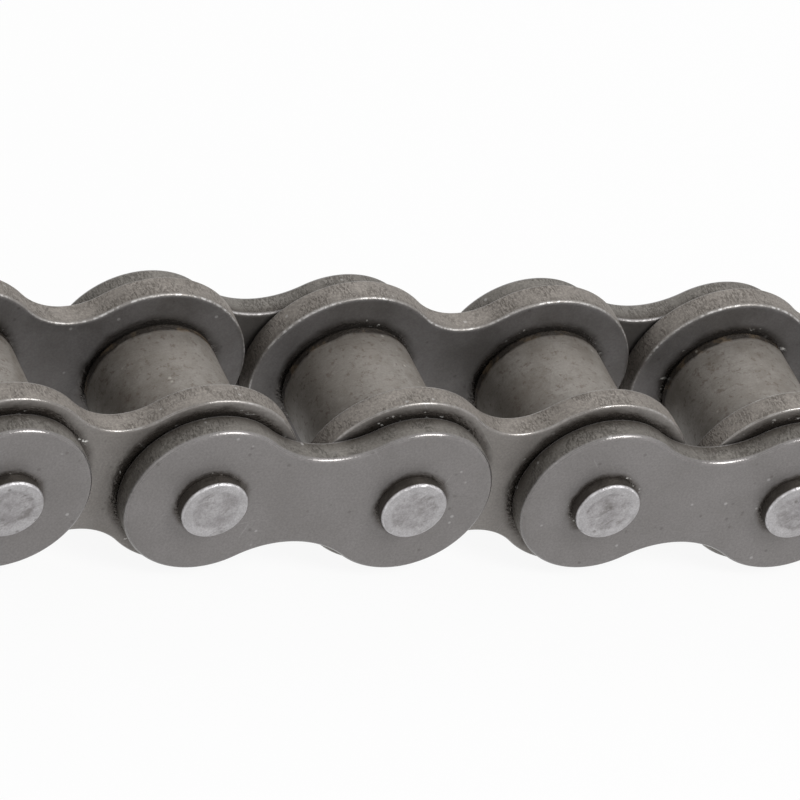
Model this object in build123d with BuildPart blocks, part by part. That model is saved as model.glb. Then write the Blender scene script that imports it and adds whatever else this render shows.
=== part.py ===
from build123d import *

import os
from math import atan2, degrees

# Roller chain strand, single row: roller links and pin links in turn, a roller link at each end.
# Millimetres. +X runs along the strand, +Y along the pins, +Z up. The pins' axes lie in the
# XY plane, which is the pitch line, and the origin is the middle of the strand.

# Along the strand
pitch = 25.4
pin_link_count = 3
plate_end_gap = 1.4  # between the round ends of neighbouring roller plates

# Across the strand
inner_width = 15.75  # between the two plates of a roller link
plate_thickness = 3.25
bush_stand_out = 0.18  # bush past the roller plates, so that only bushes rub on the pin plates
link_side_clearance = 0.12  # bush end to pin plate
roller_end_clearance = 0.15
pin_stand_out = 1.65  # riveted end past the pin plate

# Plate outlines
pin_plate_step = 1.7  # how much less a pin plate reaches up and down than a roller plate
roller_plate_waist_depth = 4.6
pin_plate_waist_depth = 4.0
roller_plate_edge_roll = 0.35  # rounded edge of the stamped plate, on its outward side
pin_plate_edge_roll = 0.65
plate_edge_break = 0.25  # broken edge on its inward side

# Pin, bush and roller, from the axis outwards
pin_diameter = 7.92
pin_clearance = 0.04
bush_wall = 1.6
roller_clearance = 0.08
roller_wall = 2.26
rivet_spread = 0.12  # the riveted end widens by this much towards its rim
rivet_rim_round = 0.45
bush_mouth_chamfer = 0.4
bush_lead_chamfer = 0.12
roller_edge_round = 0.6

# Worked out from the sizes above
roller_plate_radius = (pitch - plate_end_gap) / 2
pin_plate_radius = roller_plate_radius - pin_plate_step
pin_radius = pin_diameter / 2
bush_bore_radius = pin_radius + pin_clearance
bush_radius = bush_bore_radius + bush_wall
roller_bore_radius = bush_radius + roller_clearance
roller_radius = roller_bore_radius + roller_wall

roller_plate_face = inner_width / 2  # inward face of each kind of plate, out from the middle
bush_end = roller_plate_face + plate_thickness + bush_stand_out
pin_plate_face = bush_end + link_side_clearance
pin_plate_outside = pin_plate_face + plate_thickness
pin_end = pin_plate_outside + pin_stand_out
roller_end = roller_plate_face - roller_end_clearance

roller_link_count = pin_link_count + 1
link_count = roller_link_count + pin_link_count

SIDES = {"front": -1, "back": 1}
ENDS = {"left": -1, "right": 1}


def save(builder, label):
    """Names a finished piece and writes it as its own node."""
    builder.part.label = label
    export_step(builder.part, f"parts/{label}.step")


def link_middle(place):
    """Middle of a link along X, where place counts the links from the left end, from 0."""
    return (place - (link_count - 1) / 2) * pitch


def across_strand(x):
    """Plane of the strand's middle, centred on a pin's axis, with its normal along that axis."""
    return Plane(origin=(x, 0, 0), x_dir=(1, 0, 0), z_dir=(0, 1, 0))


def stamped_plate(label, middle, side, face, head_radius, waist_depth, hole_radius, edge_roll):
    """Waisted link plate: a round head about each hole, joined by hollow arcs tangent to both."""
    waist = head_radius - waist_depth
    waist_radius = ((pitch / 2) ** 2 + waist**2 - head_radius**2) / (2 * waist_depth)
    arc_height = waist + waist_radius
    meet = degrees(atan2(arc_height, pitch / 2))
    inward_face = Plane(origin=(middle, side * face, 0), x_dir=(1, 0, 0), z_dir=(0, side, 0))
    outwards = Axis((0, 0, 0), (0, side, 0))

    with BuildPart() as plate:
        with BuildSketch(inward_face):
            with BuildLine():
                CenterArc((-pitch / 2, 0), head_radius, meet, 360 - 2 * meet)
                CenterArc((pitch / 2, 0), head_radius, meet - 180, 360 - 2 * meet)
                CenterArc((0, arc_height), waist_radius, meet - 180, 180 - 2 * meet)
                CenterArc((0, -arc_height), waist_radius, meet, 180 - 2 * meet)
            make_face()
            with Locations((-pitch / 2, 0), (pitch / 2, 0)):
                Circle(hole_radius, mode=Mode.SUBTRACT)
        extrude(amount=plate_thickness)
        fillet(plate.faces().sort_by(outwards)[-1].outer_wire().edges(), radius=edge_roll)
        chamfer(plate.faces().sort_by(outwards)[0].outer_wire().edges(), length=plate_edge_break)
    save(plate, label)


def bush(label, x):
    """Tube pressed into the two roller plates, with an eased bore for the pin."""
    with BuildPart() as tube:
        with BuildSketch(across_strand(x)):
            Circle(bush_radius)
            Circle(bush_bore_radius, mode=Mode.SUBTRACT)
        extrude(amount=bush_end, both=True)
        rims = tube.edges().filter_by(GeomType.CIRCLE).sort_by(SortBy.RADIUS)
        chamfer(rims[:2], length=bush_mouth_chamfer)
        chamfer(rims[2:], length=bush_lead_chamfer)
    save(tube, label)


def roller(label, x):
    """Roller that turns on its bush between the roller plates."""
    with BuildPart() as ring:
        with BuildSketch(across_strand(x)):
            Circle(roller_radius)
            Circle(roller_bore_radius, mode=Mode.SUBTRACT)
        extrude(amount=roller_end, both=True)
        rims = ring.edges().filter_by(GeomType.CIRCLE).sort_by(SortBy.RADIUS)
        fillet(rims[2:], radius=roller_edge_round)
    save(ring, label)


def pin(label, x):
    """Bearing pin, pressed through the two pin plates and riveted over at both ends."""
    with BuildPart() as rivet:
        with BuildSketch(Plane(origin=(x, 0, 0), x_dir=(1, 0, 0), z_dir=(0, 0, 1))):
            with BuildLine():
                Polyline(
                    (0, 0),
                    (pin_radius, 0),
                    (pin_radius, pin_plate_outside),
                    (pin_radius + rivet_spread, pin_end),
                    (0, pin_end),
                    close=True,
                )
            make_face()
        revolve(axis=Axis((x, 0, 0), (0, 1, 0)))
        fillet(rivet.faces().sort_by(Axis.Y)[-1].edges(), radius=rivet_rim_round)
        mirror(about=Plane.XZ)
    save(rivet, label)


def roller_link(number):
    """Two plates, two bushes and two rollers."""
    name = f"roller_link_{number}"
    middle = link_middle(2 * (number - 1))
    for side, sign in SIDES.items():
        stamped_plate(
            f"{name}_plate_{side}",
            middle,
            sign,
            roller_plate_face,
            roller_plate_radius,
            roller_plate_waist_depth,
            bush_radius,
            roller_plate_edge_roll,
        )
    for end, sign in ENDS.items():
        bush(f"{name}_bush_{end}", middle + sign * pitch / 2)
        roller(f"{name}_roller_{end}", middle + sign * pitch / 2)


def pin_link(number):
    """Two plates and the two pins that join it to the roller links beside it."""
    name = f"pin_link_{number}"
    middle = link_middle(2 * number - 1)
    for side, sign in SIDES.items():
        stamped_plate(
            f"{name}_plate_{side}",
            middle,
            sign,
            pin_plate_face,
            pin_plate_radius,
            pin_plate_waist_depth,
            pin_radius,
            pin_plate_edge_roll,
        )
    for end, sign in ENDS.items():
        pin(f"{name}_pin_{end}", middle + sign * pitch / 2)


os.makedirs("parts", exist_ok=True)
for number in range(1, roller_link_count + 1):
    roller_link(number)
for number in range(1, pin_link_count + 1):
    pin_link(number)
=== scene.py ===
import bpy
import math
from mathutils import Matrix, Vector, noise
from mathutils.geometry import tessellate_polygon


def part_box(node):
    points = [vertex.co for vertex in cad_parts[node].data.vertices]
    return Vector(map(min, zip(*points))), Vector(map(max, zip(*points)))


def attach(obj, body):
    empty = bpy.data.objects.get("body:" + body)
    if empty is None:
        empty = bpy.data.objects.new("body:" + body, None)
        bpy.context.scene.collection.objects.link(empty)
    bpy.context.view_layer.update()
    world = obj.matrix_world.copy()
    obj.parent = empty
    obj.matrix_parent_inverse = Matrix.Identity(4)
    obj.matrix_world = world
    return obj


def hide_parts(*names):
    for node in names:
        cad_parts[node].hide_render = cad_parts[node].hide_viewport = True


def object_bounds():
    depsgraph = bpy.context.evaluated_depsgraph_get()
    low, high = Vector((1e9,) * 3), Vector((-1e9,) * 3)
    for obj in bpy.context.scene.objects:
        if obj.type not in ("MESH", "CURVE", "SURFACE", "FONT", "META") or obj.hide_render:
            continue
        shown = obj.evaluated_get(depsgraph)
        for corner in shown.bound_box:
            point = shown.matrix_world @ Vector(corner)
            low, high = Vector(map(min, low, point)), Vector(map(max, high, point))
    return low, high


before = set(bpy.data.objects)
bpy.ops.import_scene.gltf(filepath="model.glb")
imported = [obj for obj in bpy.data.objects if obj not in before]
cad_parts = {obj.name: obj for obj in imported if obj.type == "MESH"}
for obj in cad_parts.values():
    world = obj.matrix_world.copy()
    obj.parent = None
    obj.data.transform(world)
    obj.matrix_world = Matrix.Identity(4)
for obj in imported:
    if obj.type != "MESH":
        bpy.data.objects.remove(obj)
cadLow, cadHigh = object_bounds()

# distances every piece shares, read off the frame
mm = 0.001
rollerPlateLow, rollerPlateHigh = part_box("roller_link_1_plate_front")
pinPlateLow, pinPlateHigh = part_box("pin_link_1_plate_front")
pinLow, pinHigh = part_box("pin_link_1_pin_left")
bushLow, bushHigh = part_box("roller_link_1_bush_left")
rollerLow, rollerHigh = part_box("roller_link_1_roller_left")
pitch = (rollerPlateHigh.x - rollerPlateLow.x) - (rollerPlateHigh.z - rollerPlateLow.z)
rivetSpread = 0.12 * mm  # how much wider a riveted end is than the pin's shank
pinRadius = (pinHigh.z - pinLow.z) / 2 - rivetSpread
bushRadius = (bushHigh.z - bushLow.z) / 2
rollerRadius = (rollerHigh.z - rollerLow.z) / 2
pinPlateHeadRadius = (pinPlateHigh.z - pinPlateLow.z) / 2
rollerEnd = rollerHigh.y
bushEnd = bushHigh.y
rollerPlateFace = -rollerPlateHigh.y  # inward faces of the plates, out from the middle
pinPlateFace = -pinPlateHigh.y
pinPlateOutside = -pinPlateLow.y
freeEndFrom = cadHigh.x - pitch  # past this, out along X, the bushes hold no pin


# short forms for making and joining shader nodes

nodeGrid = {"columns": 14, "width": 190, "height": 260}


def addNode(tree, kind, inputs=None, **settings):
    made = tree.nodes.new("ShaderNode" + kind)
    row, column = divmod(len(tree.nodes), nodeGrid["columns"])
    made.location = (nodeGrid["width"] * column, -nodeGrid["height"] * row)
    for key, value in settings.items():
        setattr(made, key, value)
    for key, value in (inputs or {}).items():
        plug(tree, value, made.inputs[key])
    return made


def plug(tree, value, socket):
    if isinstance(value, bpy.types.NodeSocket):
        tree.links.new(value, socket)
    else:
        socket.default_value = value


def placeOf(tree):
    # where a point lies on its piece, the same in every pose
    return addNode(tree, "TexCoord").outputs["Object"]


def mathOf(tree, operation, a, b=0.0, clamp=False):
    return addNode(tree, "Math", {0: a, 1: b}, operation=operation, use_clamp=clamp).outputs[0]


def times(tree, product, *factors):
    for factor in factors:
        product = mathOf(tree, "MULTIPLY", product, factor)
    return product


def remap(tree, value, fromLow, fromHigh):
    spots = {"Value": value, "From Min": fromLow, "From Max": fromHigh, "To Min": 0.0, "To Max": 1.0}
    return addNode(tree, "MapRange", spots, interpolation_type="SMOOTHSTEP").outputs[0]


def blendColor(tree, factor, a, b):
    # 6 and 7 are this node's colour inputs, 2 its colour output
    return addNode(tree, "Mix", {0: factor, 6: a, 7: b}, data_type="RGBA").outputs[2]


def blendValue(tree, factor, a, b):
    return addNode(tree, "Mix", {0: factor, 2: a, 3: b}).outputs[0]


def noiseOf(tree, where, scale, detail=3.0, roughness=0.55, stretch=None):
    if stretch:
        where = addNode(tree, "Mapping", {"Vector": where, "Scale": stretch}).outputs[0]
    spots = {"Vector": where, "Scale": scale, "Detail": detail, "Roughness": roughness}
    return addNode(tree, "TexNoise", spots).outputs[0]


def bumpOf(tree, height, strength, distance, under=None):
    spots = {"Height": height, "Strength": strength, "Distance": distance}
    if under:
        spots["Normal"] = under
    return addNode(tree, "Bump", spots).outputs[0]


def newGroup(name, inputs, outputs):
    tree = bpy.data.node_groups.new(name, "ShaderNodeTree")
    for label, value in inputs.items():
        socket = tree.interface.new_socket(name=label, in_out="INPUT", socket_type="NodeSocketFloat")
        socket.default_value = value
    for label in outputs:
        tree.interface.new_socket(name=label, in_out="OUTPUT", socket_type="NodeSocketFloat")
    start = tree.nodes.new("NodeGroupInput")
    end = tree.nodes.new("NodeGroupOutput")
    return tree, start.outputs, end.inputs


def useGroup(tree, group, **values):
    return addNode(tree, "Group", values, node_tree=group).outputs


def grey(value, warmth=0.0):
    return (value * (1 + warmth), value, value * (1 - warmth), 1.0)


# effects that more than one steel finish uses; noise scales are per metre

speckKinds = {
    "Specks": {"scale": 900.0, "rarity": 0.965, "size": 0.26},
    "Pits": {"scale": 1100.0, "rarity": 0.93, "size": 0.34},
}


def buildOilMottle():
    # soft cloudy patches that oil and handling leave on bare steel, a fine grain, light and dark specks
    tree, ins, outs = newGroup(
        "oilMottle",
        {"PatchSize": 6.0 * mm, "GrainSize": 0.4 * mm},
        ("Patches", "Grain", "Specks", "Pits"),
    )
    where = placeOf(tree)
    patchScale = mathOf(tree, "DIVIDE", 1.0, ins["PatchSize"])
    grainScale = mathOf(tree, "DIVIDE", 1.0, ins["GrainSize"])
    clouds = noiseOf(tree, where, patchScale, detail=5.0, roughness=0.62)
    grain = noiseOf(tree, where, grainScale, detail=2.0, roughness=0.75)
    tree.links.new(remap(tree, clouds, 0.3, 0.7), outs["Patches"])
    tree.links.new(remap(tree, grain, 0.25, 0.75), outs["Grain"])
    for label, kind in speckKinds.items():
        cells = addNode(tree, "TexVoronoi", {"Vector": where, "Scale": kind["scale"], "Randomness": 1.0})
        dots = remap(tree, cells.outputs["Distance"], kind["size"], kind["size"] * 0.4)
        chance = addNode(tree, "SeparateColor", {"Color": cells.outputs["Color"]}).outputs[0]
        few = mathOf(tree, "GREATER_THAN", chance, kind["rarity"])
        tree.links.new(times(tree, dots, few), outs[label])
    return tree


rubMarkRuns = {
    "rising": {"turn": 18, "stretch": (60, 400, 2600)},
    "falling": {"turn": -52, "stretch": (45, 400, 1900)},
    "steep": {"turn": 74, "stretch": (70, 400, 3100)},
}
rubMarkPatch = {"scale": 140.0, "from": 0.5, "to": 0.68}


def buildRubMarks():
    # thin scratches in three directions on the plate faces, broken up by a patchy mask
    tree, ins, outs = newGroup("rubMarks", {"Amount": 1.0}, ("Marks",))
    where = placeOf(tree)
    total = None
    for run in rubMarkRuns.values():
        turn = (0, math.radians(run["turn"]), 0)
        spun = addNode(tree, "Mapping", {"Vector": where, "Rotation": turn}).outputs[0]
        lines = noiseOf(tree, spun, 1.0, detail=2.0, roughness=0.5, stretch=run["stretch"])
        thin = remap(tree, lines, 0.69, 0.76)
        total = thin if total is None else mathOf(tree, "ADD", total, thin, clamp=True)
    patch = noiseOf(tree, where, rubMarkPatch["scale"], detail=2.0)
    patch = remap(tree, patch, rubMarkPatch["from"], rubMarkPatch["to"])
    tree.links.new(times(tree, total, patch, ins["Amount"]), outs["Marks"])
    return tree


wander = {"scale": 420.0, "gain": 4.0}


def buildPinRange():
    # distance from the nearest pin axis and from the middle of the strand, for grime, polish, painted shade
    # and painted highlights
    tree, ins, outs = newGroup("pinRange", {"Wobble": 0.3 * mm}, ("Radius", "Across"))
    where = placeOf(tree)
    x, y, z = addNode(tree, "SeparateXYZ", {"Vector": where}).outputs
    share = mathOf(tree, "FRACT", mathOf(tree, "DIVIDE", x, pitch))
    along = times(tree, mathOf(tree, "SUBTRACT", share, 0.5), pitch)
    square = mathOf(tree, "ADD", times(tree, along, along), times(tree, z, z))
    radius = mathOf(tree, "SQRT", square)
    stray = mathOf(tree, "SUBTRACT", noiseOf(tree, where, wander["scale"]), 0.5)
    wobble = times(tree, stray, times(tree, ins["Wobble"], wander["gain"]))
    tree.links.new(mathOf(tree, "ADD", radius, wobble), outs["Radius"])
    tree.links.new(mathOf(tree, "ADD", mathOf(tree, "ABSOLUTE", y), wobble), outs["Across"])
    return tree


stampedEdgeLook = {
    "tearStretch": (1.0, 0.38, 1.0),  # tears run through the thickness
    "tearPatchScale": 330.0,
    "wearScale": 1500.0,
    "wearPatchScale": 260.0,
}


def buildStampedEdge():
    # where a point lies on a plate: its faces, its cut edge, its rolled and broken rims,
    # and the tear lines that the punch leaves across the cut edge
    tree, ins, outs = newGroup(
        "stampedEdge",
        {"LineSize": 0.3 * mm},
        ("Edge", "Outward", "Inward", "Roll", "Break", "Tears", "WearAndHighlight"),
    )
    coords = addNode(tree, "TexCoord").outputs
    where = coords["Object"]
    place = addNode(tree, "SeparateXYZ", {"Vector": where}).outputs[1]
    facing = addNode(tree, "SeparateXYZ", {"Vector": coords["Normal"]}).outputs[1]
    lean = times(tree, facing, mathOf(tree, "SIGN", place))  # 1 outward, 0 cut edge, -1 inward
    flat = mathOf(tree, "ABSOLUTE", lean)
    tree.links.new(remap(tree, flat, 0.45, 0.1), outs["Edge"])
    tree.links.new(remap(tree, lean, 0.75, 0.97), outs["Outward"])
    tree.links.new(remap(tree, lean, -0.75, -0.97), outs["Inward"])

    square = times(tree, flat, flat)
    slope = times(tree, square, mathOf(tree, "SUBTRACT", 1.0, square), 4.0)  # 1 at 45 degrees
    rim = remap(tree, slope, 0.35, 1.0)
    tree.links.new(times(tree, rim, mathOf(tree, "GREATER_THAN", lean, 0.0)), outs["Roll"])
    tree.links.new(times(tree, rim, mathOf(tree, "LESS_THAN", lean, 0.0)), outs["Break"])

    lineScale = mathOf(tree, "DIVIDE", 1.0, ins["LineSize"])
    stretch = stampedEdgeLook["tearStretch"]
    streaks = noiseOf(tree, where, lineScale, detail=2.0, roughness=0.6, stretch=stretch)
    patch = noiseOf(tree, where, stampedEdgeLook["tearPatchScale"], detail=2.0)
    tears = times(tree, remap(tree, streaks, 0.46, 0.62), remap(tree, patch, 0.38, 0.58))
    tree.links.new(tears, outs["Tears"])

    wear = noiseOf(tree, where, stampedEdgeLook["wearScale"], detail=3.0, roughness=0.7)
    spread = noiseOf(tree, where, stampedEdgeLook["wearPatchScale"], detail=2.0)
    wornAndHighlight = times(tree, remap(tree, wear, 0.42, 0.62), remap(tree, spread, 0.34, 0.6))
    tree.links.new(wornAndHighlight, outs["WearAndHighlight"])
    return tree


oilMottle = buildOilMottle()
rubMarks = buildRubMarks()
pinRange = buildPinRange()
stampedEdge = buildStampedEdge()
print("effect groups built")


def newSteel(name):
    steel = bpy.data.materials.new(name)
    steel.use_nodes = True
    tree = steel.node_tree
    tree.nodes.clear()
    output = addNode(tree, "OutputMaterial")
    shader = addNode(tree, "BsdfPrincipled")
    tree.links.new(shader.outputs[0], output.inputs[0])
    return steel, tree, shader


def feed(tree, shader, color, roughness, metallic, normal):
    plug(tree, color, shader.inputs["Base Color"])
    plug(tree, roughness, shader.inputs["Roughness"])
    plug(tree, metallic, shader.inputs["Metallic"])
    plug(tree, normal, shader.inputs["Normal"])


# the stamped plates of both kinds of link

rollerPlateFinish = {
    "face": (0.222, 0.205, 0.190, 1.0),
    "facePale": (0.275, 0.258, 0.243, 1.0),
    "inward": (0.146, 0.137, 0.131, 1.0),
    "inwardPale": (0.204, 0.193, 0.190, 1.0),
    "edge": (0.275, 0.250, 0.225, 1.0),
    "edgeDark": (0.105, 0.090, 0.076, 1.0),
    "grimeAndShade": (0.030, 0.023, 0.017, 1.0),
    "wornAndHighlight": (0.62, 0.61, 0.60, 1.0),
    "roughness": 0.46,
    "metallic": 0.62,
    "grimeShadeRadius": pinPlateHeadRadius,  # grime and painted shade creep out from under the pin plate's head
    "grimeShadeFrom": 0.1 * mm,
    "grimeShadeTo": 1.5 * mm,
    "edgeDirtShade": 0.15,
    "edgeDirtShadeFrom": rollerPlateFace + 0.2 * mm,
    "edgeDirtShadeTo": rollerPlateFace + 1.2 * mm,
    "edgeTears": 0.75,
    "rollWearHighlight": 0.25,
    "rollGloss": 0.20,
    "breakWearHighlight": 0.9,
}
pinPlateFinish = {
    "face": (0.208, 0.196, 0.191, 1.0),
    "facePale": (0.244, 0.231, 0.227, 1.0),
    "inward": (0.100, 0.092, 0.086, 1.0),
    "inwardPale": (0.140, 0.130, 0.122, 1.0),
    "edge": (0.200, 0.186, 0.168, 1.0),
    "edgeDark": (0.060, 0.052, 0.043, 1.0),
    "grimeAndShade": (0.036, 0.028, 0.021, 1.0),
    "wornAndHighlight": (0.58, 0.57, 0.56, 1.0),
    "roughness": 0.42,
    "metallic": 0.62,
    "grimeShadeRadius": pinRadius,  # grime and painted shade gather round the pin
    "grimeShadeFrom": 0.1 * mm,
    "grimeShadeTo": 1.15 * mm,
    "edgeDirtShade": 0.7,
    "edgeDirtShadeFrom": pinPlateFace + 0.2 * mm,
    "edgeDirtShadeTo": pinPlateFace + 1.9 * mm,
    "edgeTears": 0.6,
    "rollWearHighlight": 0.04,
    "rollGloss": 0.24,
    "breakWearHighlight": 0.5,
}
plateLook = {
    "patchSize": 6.5 * mm,
    "grainSize": 0.30 * mm,
    "tearSize": 0.22 * mm,
    "wobble": 0.3 * mm,
    "grainColor": grey(0.065, 0.04),
    "faceGrain": 0.30,
    "edgeGrain": 0.4,
    "rubMarks": 0.3,
    "ringGrimeShade": 0.85,
    "ringFades": (1.6 * mm, 0.3 * mm),  # under the piece that covers it, the ring fades over this stretch
    "rollerGrimeShade": 0.75,
    "rollerGrimeShadeWidth": 1.3 * mm,
    "rollerGrimeShadeColor": (0.034, 0.027, 0.021, 1.0),
    "pits": 0.3,
    "specks": 0.35,
    "patchRoughness": 0.10,
    "edgeRoughness": 0.14,
    "rimGloss": 0.1,
    "grainBump": 0.02 * mm,
    "tearBump": 0.1 * mm,
}
oilFilm = {  # wet grime: low roughness and ripples, with painted glints
    "roughness": 0.16,
    "rippleScale": 1700.0,
    "ripple": 0.2 * mm,
    "glint": (0.80, 0.79, 0.76, 1.0),
    "glintScale": 1500.0,
    "glintStretch": (0.8, 1.0, 1.1),
    "glintPatchScale": 260.0,
}


def barePlateColor(tree, finish, mottle, stamp):
    # the two faces and the cut edge, before any dirt
    marks = useGroup(tree, rubMarks, Amount=1.0)["Marks"]
    front = blendColor(tree, mottle["Patches"], finish["face"], finish["facePale"])
    front = blendColor(tree, times(tree, marks, plateLook["rubMarks"]), front, finish["wornAndHighlight"])
    # the inward faces, between the plates, are painted darker: oil film and painted shade
    back = blendColor(tree, mottle["Patches"], finish["inward"], finish["inwardPale"])
    faces = blendColor(tree, stamp["Inward"], front, back)
    edgeGrain = times(tree, mottle["Grain"], plateLook["edgeGrain"])
    cut = blendColor(tree, edgeGrain, finish["edge"], finish["edgeDark"])
    cut = blendColor(tree, times(tree, stamp["Tears"], finish["edgeTears"]), cut, finish["edgeDark"])
    color = blendColor(tree, stamp["Edge"], faces, cut)
    grain = times(tree, mottle["Grain"], plateLook["faceGrain"])
    return blendColor(tree, grain, color, plateLook["grainColor"])


def grimeShadeRing(tree, finish, pins, stamp, where):
    # painted shade of the joint and grime, on the outward face, round the piece that covers it, and only
    # where the link is joined
    start = finish["grimeShadeRadius"]
    fadeFrom, fadeTo = plateLook["ringFades"]
    ring = remap(tree, pins["Radius"], start + finish["grimeShadeTo"], start + finish["grimeShadeFrom"])
    under = remap(tree, pins["Radius"], start - fadeFrom, start - fadeTo)
    x = addNode(tree, "SeparateXYZ", {"Vector": where}).outputs[0]
    joined = mathOf(tree, "LESS_THAN", mathOf(tree, "ABSOLUTE", x), freeEndFrom)
    return times(tree, ring, under, joined, stamp["Outward"], plateLook["ringGrimeShade"])


def grimeGlints(tree, wet, where):
    stretch = oilFilm["glintStretch"]
    dots = noiseOf(tree, where, oilFilm["glintScale"], detail=2.0, roughness=0.5, stretch=stretch)
    patch = noiseOf(tree, where, oilFilm["glintPatchScale"], detail=1.0)
    glints = times(tree, remap(tree, dots, 0.62, 0.72), remap(tree, patch, 0.54, 0.64))
    return times(tree, glints, remap(tree, wet, 0.15, 0.55))


def plateSteel(name, finish):
    steel, tree, shader = newSteel(name)
    mottle = useGroup(tree, oilMottle, PatchSize=plateLook["patchSize"], GrainSize=plateLook["grainSize"])
    stamp = useGroup(tree, stampedEdge, LineSize=plateLook["tearSize"])
    pins = useGroup(tree, pinRange, Wobble=plateLook["wobble"])
    where = placeOf(tree)

    color = barePlateColor(tree, finish, mottle, stamp)
    ring = grimeShadeRing(tree, finish, pins, stamp, where)
    # paints the ring dark: grime, with painted shade where the pieces meet
    color = blendColor(tree, ring, color, finish["grimeAndShade"])
    # grease and painted shade on the inward faces, round the roller where it meets the plate
    oilAndShade = remap(tree, pins["Radius"], rollerRadius + plateLook["rollerGrimeShadeWidth"], rollerRadius)
    oilAndShade = times(tree, oilAndShade, stamp["Inward"], plateLook["rollerGrimeShade"])
    color = blendColor(tree, oilAndShade, color, plateLook["rollerGrimeShadeColor"])
    # the cut edge darkens towards the inward face: dirt, and painted shade of the crevice between the
    # plates
    dirtShade = remap(tree, pins["Across"], finish["edgeDirtShadeTo"], finish["edgeDirtShadeFrom"])
    dirtShade = times(tree, dirtShade, stamp["Edge"], finish["edgeDirtShade"])
    color = blendColor(tree, dirtShade, color, finish["grimeAndShade"])

    # painted highlights along the rolled and broken rims, partly bright wear
    roll = times(tree, stamp["Roll"], finish["rollWearHighlight"])
    rim = mathOf(tree, "ADD", roll, times(tree, stamp["Break"], finish["breakWearHighlight"]))
    color = blendColor(tree, times(tree, rim, stamp["WearAndHighlight"]), color, finish["wornAndHighlight"])
    color = blendColor(tree, times(tree, mottle["Pits"], plateLook["pits"]), color, finish["grimeAndShade"])
    color = blendColor(tree, times(tree, mottle["Specks"], plateLook["specks"]), color, finish["wornAndHighlight"])
    wet = mathOf(tree, "MAXIMUM", ring, oilAndShade)
    # painted glints on the wet grime
    color = blendColor(tree, grimeGlints(tree, wet, where), color, oilFilm["glint"])

    patchy = times(tree, mottle["Patches"], plateLook["patchRoughness"])
    rough = mathOf(tree, "ADD", patchy, finish["roughness"])
    rough = mathOf(tree, "ADD", rough, times(tree, stamp["Edge"], plateLook["edgeRoughness"]))
    gloss = times(tree, stamp["Roll"], finish["rollGloss"])
    gloss = mathOf(tree, "ADD", gloss, times(tree, rim, plateLook["rimGloss"]))
    rough = blendValue(tree, wet, mathOf(tree, "SUBTRACT", rough, gloss), oilFilm["roughness"])

    ripple = noiseOf(tree, where, oilFilm["rippleScale"], detail=3.0, roughness=0.6)
    bumps = bumpOf(tree, mottle["Grain"], 0.4, plateLook["grainBump"])
    bumps = bumpOf(tree, times(tree, ripple, wet), 0.9, oilFilm["ripple"], bumps)
    bumps = bumpOf(tree, times(tree, stamp["Tears"], stamp["Edge"]), 0.7, plateLook["tearBump"], bumps)
    feed(tree, shader, color, rough, finish["metallic"], bumps)
    return steel


plateShape = {
    "pinWaistDepth": 4.0 * mm,
    "rollerWaistDepth": 4.6 * mm,
    "pinRoll": 0.65 * mm,
    "rollerRoll": 0.35 * mm,
    "burr": 0.25 * mm,
    "flatFrom": 0.4 * mm,  # a ring of points this far inside each rim keeps the faces flat
    "step": 0.5 * mm,
    "rollRows": 6,
    "holeSteps": 72,
    "sharp": 50,
    # rows down the cut edge: share of the thickness from the outward face, inset, how torn
    "cutRows": (
        (0.38, 0, 0.2),
        (0.5, 0.02 * mm, 0.7),
        (0.62, 0.02 * mm, 1.0),
        (0.74, 0.02 * mm, 1.0),
        (0.86, 0.02 * mm, 1.0),
    ),
    "tear": 0.04 * mm,
    "tearScale": 900,
    "tearDepthScale": 260,
    "tearSeedShift": 7,  # tears the front and back plates differently
}


def plateOutline(headRadius, waistDepth):
    # points (x, z, normal x, normal z) round a waisted plate, anticlockwise from its right head
    waist = headRadius - waistDepth
    arcRadius = ((pitch / 2) ** 2 + waist**2 - headRadius**2) / (2 * waistDepth)
    arcHeight = waist + arcRadius
    meet = math.atan2(arcHeight, pitch / 2)
    runs = (
        (pitch / 2, 0, headRadius, meet - math.pi, math.pi - meet, 1),
        (0, arcHeight, arcRadius, -meet, meet - math.pi, -1),
        (-pitch / 2, 0, headRadius, meet, 2 * math.pi - meet, 1),
        (0, -arcHeight, arcRadius, math.pi - meet, meet, -1),
    )
    points = []
    for x, z, radius, start, end, side in runs:
        count = max(8, round(abs(end - start) * radius / plateShape["step"]))
        for i in range(count):
            a = start + (end - start) * i / count
            across, up = math.cos(a), math.sin(a)
            points.append((x + radius * across, z + radius * up, side * across, side * up))
    return points


def plateSection(roll, thickness):
    # rows (inset, depth from the outward face, how torn) from one face round to the other
    burr = plateShape["burr"]
    rows = [(roll + plateShape["flatFrom"], 0, 0)]
    for i in range(plateShape["rollRows"] + 1):
        a = math.pi / 2 * i / plateShape["rollRows"]
        rows.append((roll * (1 - math.sin(a)), roll * (1 - math.cos(a)), 0.15))
    rows += [(inset, thickness * share, torn) for share, inset, torn in plateShape["cutRows"]]
    rows.append((0.25 * burr, thickness - 0.8 * burr, 0.8))
    rows.append((burr, thickness, 0.3))
    rows.append((burr + plateShape["flatFrom"], thickness, 0))
    return rows


def holeCircle(middle, radius):
    # points (x, z), clockwise, as a hole in a face wants them
    count = plateShape["holeSteps"]
    turns = [2 * math.pi * i / count for i in reversed(range(count))]
    return [(middle + radius * math.cos(a), radius * math.sin(a)) for a in turns]


def finishMesh(node, body, verts, faces, material, sharp):
    name = node + "_steel"
    mesh = bpy.data.meshes.new(name)
    mesh.from_pydata(verts, [], faces)
    mesh.update()
    mesh.polygons.foreach_set("use_smooth", [True] * len(mesh.polygons))
    mesh.set_sharp_from_angle(angle=math.radians(sharp))
    mesh.materials.append(material)
    piece = bpy.data.objects.new(name, mesh)
    bpy.context.scene.collection.objects.link(piece)
    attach(piece, body)
    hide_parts(node)


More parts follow.
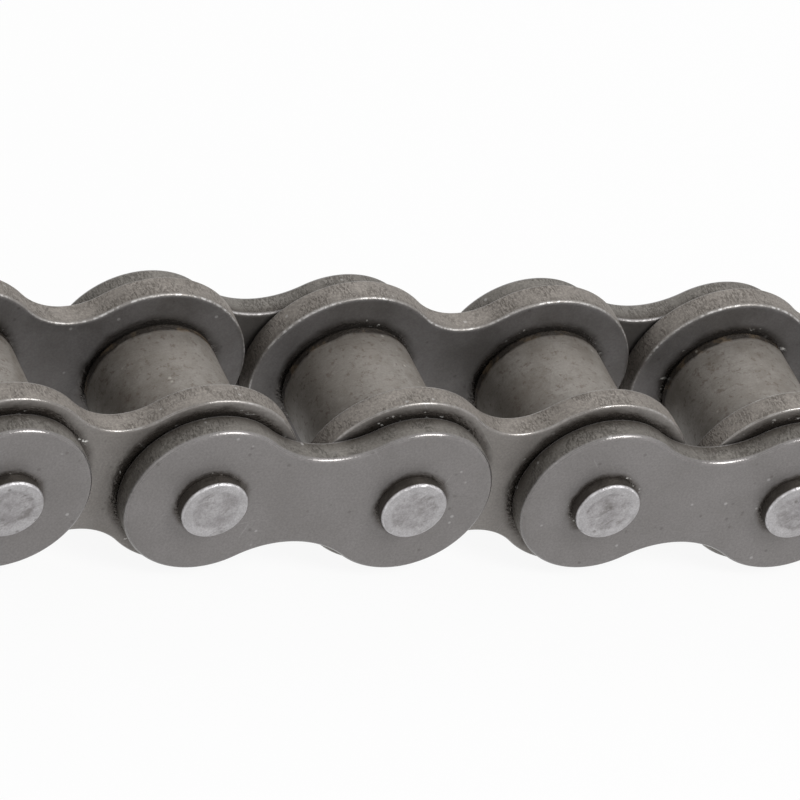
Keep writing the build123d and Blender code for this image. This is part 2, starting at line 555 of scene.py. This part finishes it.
def stampPlate(node, body, kind, holeRadius, material):
    low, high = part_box(node)
    side = 1 if low.y > 0 else -1
    inward, outward = (low.y, high.y) if side > 0 else (high.y, low.y)
    middle = (low.x + high.x) / 2
    thickness = high.y - low.y
    outline = plateOutline((high.z - low.z) / 2, plateShape[kind + "WaistDepth"])
    section = plateSection(plateShape[kind + "Roll"], thickness)

    verts, faces = [], []
    scale, depthScale = plateShape["tearScale"], plateShape["tearDepthScale"]
    seedShift = plateShape["tearSeedShift"]
    for inset, depth, torn in section:
        y = outward + (inward - outward) * depth / thickness
        for x, z, nx, nz in outline:
            seed = Vector(((middle + x) * scale, depth * depthScale + side * seedShift, z * scale))
            inch = inset + abs(noise.noise(seed)) * plateShape["tear"] * torn
            verts.append((middle + x - nx * inch, y, z - nz * inch))
    count, rows = len(outline), len(section)
    for r in range(rows - 1):
        for i in range(count):
            a, b = r * count + i, r * count + (i + 1) % count
            faces.append((a, b, b + count, a + count))

    # the two faces, each with its holes, then the hole walls
    holes = [holeCircle(middle + x, holeRadius) for x in (-pitch / 2, pitch / 2)]
    rims = []
    for y, first in ((outward, 0), (inward, (rows - 1) * count)):
        index = list(range(first, first + count))
        loops = [[Vector((verts[i][0], verts[i][2], 0)) for i in index]]
        for hole in holes:
            rims.append(len(verts))
            index += range(len(verts), len(verts) + len(hole))
            loops.append([Vector((x, z, 0)) for x, z in hole])
            verts += [(x, y, z) for x, z in hole]
        faces += [tuple(index[k] for k in triangle) for triangle in tessellate_polygon(loops)]
    wall = plateShape["holeSteps"]
    for near, far in zip(rims[:2], rims[2:]):
        for i in range(wall):
            j = (i + 1) % wall
            faces.append((near + i, near + j, far + j, far + i))
    finishMesh(node, body, verts, faces, material, plateShape["sharp"])


pinPlateSteel = plateSteel("pinPlateSteel", pinPlateFinish)
rollerPlateSteel = plateSteel("rollerPlateSteel", rollerPlateFinish)
for name in sorted(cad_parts):
    if "_plate_" in name:
        link = name.split("_plate_")[0]
        if name.startswith("pin"):
            stampPlate(name, link, "pin", pinRadius, pinPlateSteel)
        else:
            stampPlate(name, link, "roller", bushRadius, rollerPlateSteel)
print("plates stamped")


# everything turned on a lathe: pins, rollers, bushes

def lathe(x, profile, closed, steps, shift=None):
    # profile is (radius, y) pairs; a radius of 0 makes one middle point
    verts, rings = [], []
    for radius, y in profile:
        if radius == 0:
            rings.append([len(verts)])
            verts.append((x, y, 0))
            continue
        ring = []
        for i in range(steps):
            a = 2 * math.pi * i / steps
            dr, dy = shift(radius, y, a) if shift else (0, 0)
            ring.append(len(verts))
            verts.append((x + (radius + dr) * math.cos(a), y + dy, (radius + dr) * math.sin(a)))
        rings.append(ring)
    faces = []
    pairs = list(zip(rings, rings[1:])) + ([(rings[-1], rings[0])] if closed else [])
    for one, two in pairs:
        for i in range(steps):
            j = (i + 1) % steps
            if len(one) == 1:
                faces.append((one[0], two[j], two[i]))
            elif len(two) == 1:
                faces.append((one[i], one[j], two[0]))
            else:
                faces.append((one[i], one[j], two[j], two[i]))
    return verts, faces


pinShape = {
    "rim": 0.45 * mm,
    "rimRows": 5,
    "faceRows": 18,
    "dish": 0.14 * mm,  # the riveting tool leaves the middle this much lower
    "dishFrom": 2.55 * mm,
    "dishTo": 3.05 * mm,
    "dent": 0.06 * mm,
    "dentScale": 520,
    "outOfRound": 0.06 * mm,
    "steps": 96,
    "sharp": 60,
}
pinFinish = {
    "face": (0.285, 0.272, 0.276, 1.0),
    "facePale": (0.470, 0.456, 0.464, 1.0),
    "ring": (0.560, 0.548, 0.560, 1.0),
    "stain": (0.120, 0.107, 0.098, 1.0),
    "side": (0.090, 0.080, 0.070, 1.0),
    "rim": (0.70, 0.69, 0.70, 1.0),
    "roughness": 0.32,
    "metallic": 0.72,
    "patchSize": 1.9 * mm,
    "grainSize": 0.22 * mm,
    "smearTurn": 40,
    "smearStretch": (700, 400, 1900),
    "smears": 0.45,
    "ringPolishAndHighlight": 0.45,
    "grain": 0.35,
    "pits": 0.5,
}


def pinEndSteel():
    steel, tree, shader = newSteel("pinSteel")
    mottle = useGroup(tree, oilMottle, PatchSize=pinFinish["patchSize"], GrainSize=pinFinish["grainSize"])
    stamp = useGroup(tree, stampedEdge, LineSize=0.25 * mm)
    radius = useGroup(tree, pinRange, Wobble=0.3 * mm)["Radius"]
    where = placeOf(tree)
    turn = (0, math.radians(pinFinish["smearTurn"]), 0)
    spun = addNode(tree, "Mapping", {"Vector": where, "Rotation": turn}).outputs[0]
    smears = noiseOf(tree, spun, 1.0, detail=3.0, roughness=0.6, stretch=pinFinish["smearStretch"])
    patch = noiseOf(tree, where, 300.0, detail=2.0)
    smears = times(tree, remap(tree, smears, 0.46, 0.62), remap(tree, patch, 0.42, 0.62))

    face = blendColor(tree, mottle["Patches"], pinFinish["face"], pinFinish["facePale"])
    face = blendColor(tree, times(tree, smears, pinFinish["smears"]), face, pinFinish["stain"])
    # a lighter ring near the rim: polish from riveting and a painted highlight
    ring = remap(tree, radius, pinShape["dishFrom"], pinShape["dishTo"])
    face = blendColor(tree, times(tree, ring, pinFinish["ringPolishAndHighlight"]), face, pinFinish["ring"])
    face = blendColor(tree, times(tree, mottle["Grain"], pinFinish["grain"]), face, pinFinish["side"])
    # the pin's side is painted dark: oil, with painted shade and dark reflection
    color = blendColor(tree, stamp["Edge"], face, pinFinish["side"])
    # painted highlight on the rounded rim, broken up by wear
    rim = times(tree, stamp["Roll"], mathOf(tree, "ADD", times(tree, stamp["WearAndHighlight"], 0.6), 0.2))
    color = blendColor(tree, rim, color, pinFinish["rim"])
    color = blendColor(tree, times(tree, mottle["Pits"], pinFinish["pits"]), color, pinFinish["side"])

    rough = mathOf(tree, "ADD", times(tree, mottle["Patches"], 0.14), pinFinish["roughness"])
    bumps = bumpOf(tree, mottle["Grain"], 0.5, 0.04 * mm)
    bumps = bumpOf(tree, mottle["Patches"], 0.35, 0.28 * mm, bumps)
    bumps = bumpOf(tree, smears, 0.4, 0.05 * mm, bumps)
    feed(tree, shader, color, rough, pinFinish["metallic"], bumps)
    return steel


def pinProfile(headRadius, end):
    # from the middle of one end, over its dish and rim, along the shank to the other end
    rim, dish = pinShape["rim"], pinShape["dish"]
    half = []
    for k in range(pinShape["faceRows"] + 1):
        radius = (headRadius - rim) * k / pinShape["faceRows"]
        share = (radius - pinShape["dishFrom"]) / (pinShape["dishTo"] - pinShape["dishFrom"])
        share = min(1.0, max(0.0, share))
        half.append((radius, end - dish * (1 - share * share * (3 - 2 * share))))
    for i in range(1, pinShape["rimRows"] + 1):
        a = math.pi / 2 * i / pinShape["rimRows"]
        half.append((headRadius - rim + rim * math.sin(a), end - rim + rim * math.cos(a)))
    half += [(pinRadius, pinPlateOutside - 0.2 * mm), (pinRadius, 0)]
    return half + [(radius, -y) for radius, y in reversed(half[:-1])]


def rivetPin(node, body, material):
    low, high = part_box(node)
    x = (low.x + high.x) / 2
    headRadius = (high.z - low.z) / 2
    end = high.y
    flatRadius = headRadius - pinShape["rim"] * 0.6

    def dents(radius, y, a):
        # how far a point is pushed in towards the axis and down into the end
        head = max(0.0, (abs(y) - pinPlateOutside + 0.4 * mm) / (end - pinPlateOutside))
        lobes = Vector((x * 400 + math.cos(a) * 1.3, y * 50, math.sin(a) * 1.3))
        inwards = -abs(noise.noise(lobes)) * pinShape["outOfRound"] * min(head, 1)
        if radius >= flatRadius or head <= 0.8:
            return inwards, 0
        scale = pinShape["dentScale"]
        place = Vector(((x + radius * math.cos(a)) * scale, y * 90, radius * math.sin(a) * scale))
        down = abs(noise.noise(place)) * pinShape["dent"]
        return inwards, -down if y > 0 else down

    verts, faces = lathe(x, pinProfile(headRadius, end), False, pinShape["steps"], dents)
    finishMesh(node, body, verts, faces, material, pinShape["sharp"])


rollerShape = {"edge": 0.6 * mm, "mouth": 0.1 * mm, "gap": 0.08 * mm, "steps": 128, "sharp": 40}
bushShape = {"edge": 0.12 * mm, "mouth": 0.4 * mm, "gap": 0.04 * mm, "steps": 96, "sharp": 40}
rollerFinish = {
    "skin": (0.190, 0.173, 0.153, 1.0),
    "skinPale": (0.252, 0.236, 0.216, 1.0),
    "stain": (0.110, 0.092, 0.074, 1.0),
    "rust": (0.085, 0.060, 0.044, 1.0),
    "end": (0.022, 0.017, 0.013, 1.0),
    "endPale": (0.120, 0.085, 0.050, 1.0),
    "glint": (0.55, 0.53, 0.48, 1.0),
    "roughness": 0.50,
    "metallic": 0.28,
    "rustAmount": 0.65,
    "greaseShadeFrom": rollerEnd - 1.7 * mm,
}
bushFinish = {
    "skin": (0.215, 0.205, 0.195, 1.0),
    "skinPale": (0.300, 0.290, 0.280, 1.0),
    "stain": (0.110, 0.095, 0.080, 1.0),
    "rust": (0.090, 0.072, 0.056, 1.0),
    "end": (0.030, 0.024, 0.019, 1.0),
    "endPale": (0.050, 0.040, 0.030, 1.0),
    "glint": (0.60, 0.58, 0.55, 1.0),
    "roughness": 0.34,
    "metallic": 0.65,
    "rustAmount": 0.30,
    "greaseShadeFrom": bushEnd + 1.0 * mm,  # past the bush, so it stays clean
}
turnedLook = {
    "patchSize": 4.2 * mm,
    "grainSize": 0.25 * mm,
    "wobble": 0.2 * mm,
    "lineScale": 900.0,
    "lineStretch": (0.12, 4.0, 0.12),  # tool marks run round the piece
    "cloudScale": 260.0,
    "fleckScale": 1250.0,
    "greaseScale": 480.0,
    "greaseShadeFade": 0.6 * mm,
    "greaseShadeAmount": 0.88,
    "greaseRoughness": 0.24,
    "clouds": 0.5,
    "lines": 0.12,
    "grain": 0.35,
    "pits": 0.4,
    "specks": 0.35,
}


def turnedSkin(tree, finish, mottle, turned, where):
    clouds = remap(tree, noiseOf(tree, where, turnedLook["cloudScale"], 5.0, 0.68), 0.44, 0.66)
    flecks = remap(tree, noiseOf(tree, where, turnedLook["fleckScale"], 3.0, 0.7), 0.54, 0.68)
    lines = remap(tree, turned, 0.45, 0.65)
    skin = blendColor(tree, mottle["Patches"], finish["skin"], finish["skinPale"])
    skin = blendColor(tree, times(tree, clouds, turnedLook["clouds"]), skin, finish["stain"])
    skin = blendColor(tree, times(tree, flecks, finish["rustAmount"]), skin, finish["rust"])
    skin = blendColor(tree, times(tree, lines, turnedLook["lines"]), skin, finish["stain"])
    return blendColor(tree, times(tree, mottle["Grain"], turnedLook["grain"]), skin, finish["stain"])


def turnedSteel(name, finish):
    # bare turned steel, darker towards its ends, where it meets the plates: wet grease and painted shade
    steel, tree, shader = newSteel(name)
    mottle = useGroup(tree, oilMottle, PatchSize=turnedLook["patchSize"], GrainSize=turnedLook["grainSize"])
    across = useGroup(tree, pinRange, Wobble=turnedLook["wobble"])["Across"]
    where = placeOf(tree)
    turned = noiseOf(tree, where, turnedLook["lineScale"], 2.0, 0.5, turnedLook["lineStretch"])
    color = turnedSkin(tree, finish, mottle, turned, where)

    # painted shade and grease near the ends
    nearEnd = remap(tree, across, finish["greaseShadeFrom"], finish["greaseShadeFrom"] + turnedLook["greaseShadeFade"])
    smeared = remap(tree, noiseOf(tree, where, turnedLook["greaseScale"]), 0.50, 0.68)
    greaseAndShade = blendColor(tree, smeared, finish["end"], finish["endPale"])
    color = blendColor(tree, times(tree, nearEnd, turnedLook["greaseShadeAmount"]), color, greaseAndShade)
    color = blendColor(tree, times(tree, mottle["Pits"], turnedLook["pits"]), color, finish["stain"])
    # painted glints, as small bright specks
    color = blendColor(tree, times(tree, mottle["Specks"], turnedLook["specks"]), color, finish["glint"])

    rough = mathOf(tree, "ADD", times(tree, mottle["Patches"], 0.12), finish["roughness"])
    rough = blendValue(tree, nearEnd, rough, turnedLook["greaseRoughness"])
    ripple = noiseOf(tree, where, oilFilm["rippleScale"], detail=3.0, roughness=0.6)
    bumps = bumpOf(tree, mottle["Grain"], 0.35, 0.03 * mm)
    bumps = bumpOf(tree, turned, 0.12, 0.02 * mm, bumps)
    bumps = bumpOf(tree, times(tree, ripple, nearEnd), 0.9, oilFilm["ripple"], bumps)
    feed(tree, shader, color, rough, finish["metallic"], bumps)
    return steel


def tubeProfile(outer, inner, end, edge, mouth):
    # half section of a tube with rounded outer edges and eased mouths, closed on itself
    rounded = []
    for i in range(7):
        a = math.pi / 2 * i / 6
        rounded.append((outer - edge + edge * math.cos(a), end - edge + edge * math.sin(a)))
    top = [(inner, end - mouth), (inner + mouth, end)] + rounded[::-1]
    barrel = [(outer, (end - edge) * (1 - k / 4)) for k in range(1, 8)]
    bottom = [(radius, -y) for radius, y in reversed(top)]
    return top + barrel + bottom


def turnTube(node, body, within, shape, material):
    # a bush round its pin, or a roller round its bush: within is the radius of what it goes on
    low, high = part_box(node)
    x = (low.x + high.x) / 2
    outer = (high.z - low.z) / 2
    profile = tubeProfile(outer, within + shape["gap"], high.y, shape["edge"], shape["mouth"])
    verts, faces = lathe(x, profile, True, shape["steps"])
    finishMesh(node, body, verts, faces, material, shape["sharp"])


pinSteel = pinEndSteel()
rollerSteel = turnedSteel("rollerSteel", rollerFinish)
bushSteel = turnedSteel("bushSteel", bushFinish)
for name in sorted(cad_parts):
    kind, link = name.split("_")[3], "_".join(name.split("_")[:3])
    if kind == "pin":
        rivetPin(name, link, pinSteel)
    elif kind == "roller":
        turnTube(name, name, bushRadius, rollerShape, rollerSteel)
    elif kind == "bush":
        turnTube(name, link, pinRadius, bushShape, bushSteel)
print("pins, rollers and bushes turned")


# floor, light and camera

stageSetup = {"size": 6.0, "floor": 0.86, "glow": 0.92}  # metres, grey of the paper, how white it looks
lampSetup = {  # metres and watts
    "key": {"place": (0.30, -0.42, 0.60), "size": 0.34, "power": 3.4},
    "back": {"place": (0.20, 0.60, 0.55), "size": 0.60, "power": 1.8},
    "left": {"place": (-0.80, -0.45, 0.40), "size": 0.50, "power": 0.35},
}
worldSetup = {"light": 0.42, "shown": 1.0}  # what falls on the chain, what is seen and mirrored
cameraSetup = {
    "place": (-14.7753, -23.1523, 19.5760),  # in pitches from the middle of the strand
    "turn": (53.0584, -17.4896, -20.9039),
    "lens": 333.10,
    "sensor": 36.0,
    "near": 0.01,
    "far": 20.0,
}


def makeStage():
    size = stageSetup["size"] / 2
    corners = [(-size, -size), (size, -size), (size, size), (-size, size)]
    mesh = bpy.data.meshes.new("floor")
    mesh.from_pydata([(x, y, cadLow.z) for x, y in corners], [], [(0, 1, 2, 3)])
    floor = bpy.data.objects.new("floor", mesh)
    bpy.context.scene.collection.objects.link(floor)
    paper = bpy.data.materials.new("floorPaper")
    paper.use_nodes = True
    tree = paper.node_tree
    tree.nodes.clear()
    output = addNode(tree, "OutputMaterial")
    matte = addNode(tree, "BsdfDiffuse", {"Color": grey(stageSetup["floor"])})
    glow = addNode(tree, "Emission", {"Color": grey(1.0), "Strength": 1.0})
    rays = addNode(tree, "LightPath").outputs
    seen = mathOf(tree, "MAXIMUM", rays["Is Camera Ray"], rays["Is Glossy Ray"])
    share = times(tree, seen, stageSetup["glow"])
    both = addNode(tree, "MixShader", {0: share, 1: matte.outputs[0], 2: glow.outputs[0]})
    tree.links.new(both.outputs[0], output.inputs[0])
    mesh.materials.append(paper)


def makeWorld():
    world = bpy.data.worlds.new("studio")
    bpy.context.scene.world = world
    world.use_nodes = True
    tree = world.node_tree
    tree.nodes.clear()
    output = addNode(tree, "OutputWorld")
    rays = addNode(tree, "LightPath").outputs
    seen = mathOf(tree, "MAXIMUM", rays["Is Camera Ray"], rays["Is Glossy Ray"])
    seen = mathOf(tree, "MAXIMUM", seen, rays["Is Transmission Ray"])
    extra = times(tree, seen, worldSetup["shown"] - worldSetup["light"])
    strength = mathOf(tree, "ADD", extra, worldSetup["light"])
    sky = addNode(tree, "Background", {"Color": grey(1.0), "Strength": strength})
    tree.links.new(sky.outputs[0], output.inputs[0])


def makeLamps():
    for name, values in lampSetup.items():
        data = bpy.data.lights.new(name, "AREA")
        data.shape = "DISK"
        data.size = values["size"]
        data.energy = values["power"]
        lamp = bpy.data.objects.new(name, data)
        lamp.location = values["place"]
        lamp.rotation_euler = Vector(values["place"]).to_track_quat("Z", "Y").to_euler()
        bpy.context.scene.collection.objects.link(lamp)


def makeCamera():
    data = bpy.data.cameras.new("camera")
    data.lens = cameraSetup["lens"]
    data.sensor_width = cameraSetup["sensor"]
    data.clip_start = cameraSetup["near"]
    data.clip_end = cameraSetup["far"]
    camera = bpy.data.objects.new("camera", data)
    camera.location = [share * pitch for share in cameraSetup["place"]]
    camera.rotation_euler = [math.radians(angle) for angle in cameraSetup["turn"]]
    bpy.context.scene.collection.objects.link(camera)
    bpy.context.scene.camera = camera


makeStage()
makeWorld()
makeLamps()
makeCamera()
bpy.context.scene.view_settings.view_transform = "Standard"
print("stage, lamps and camera placed")
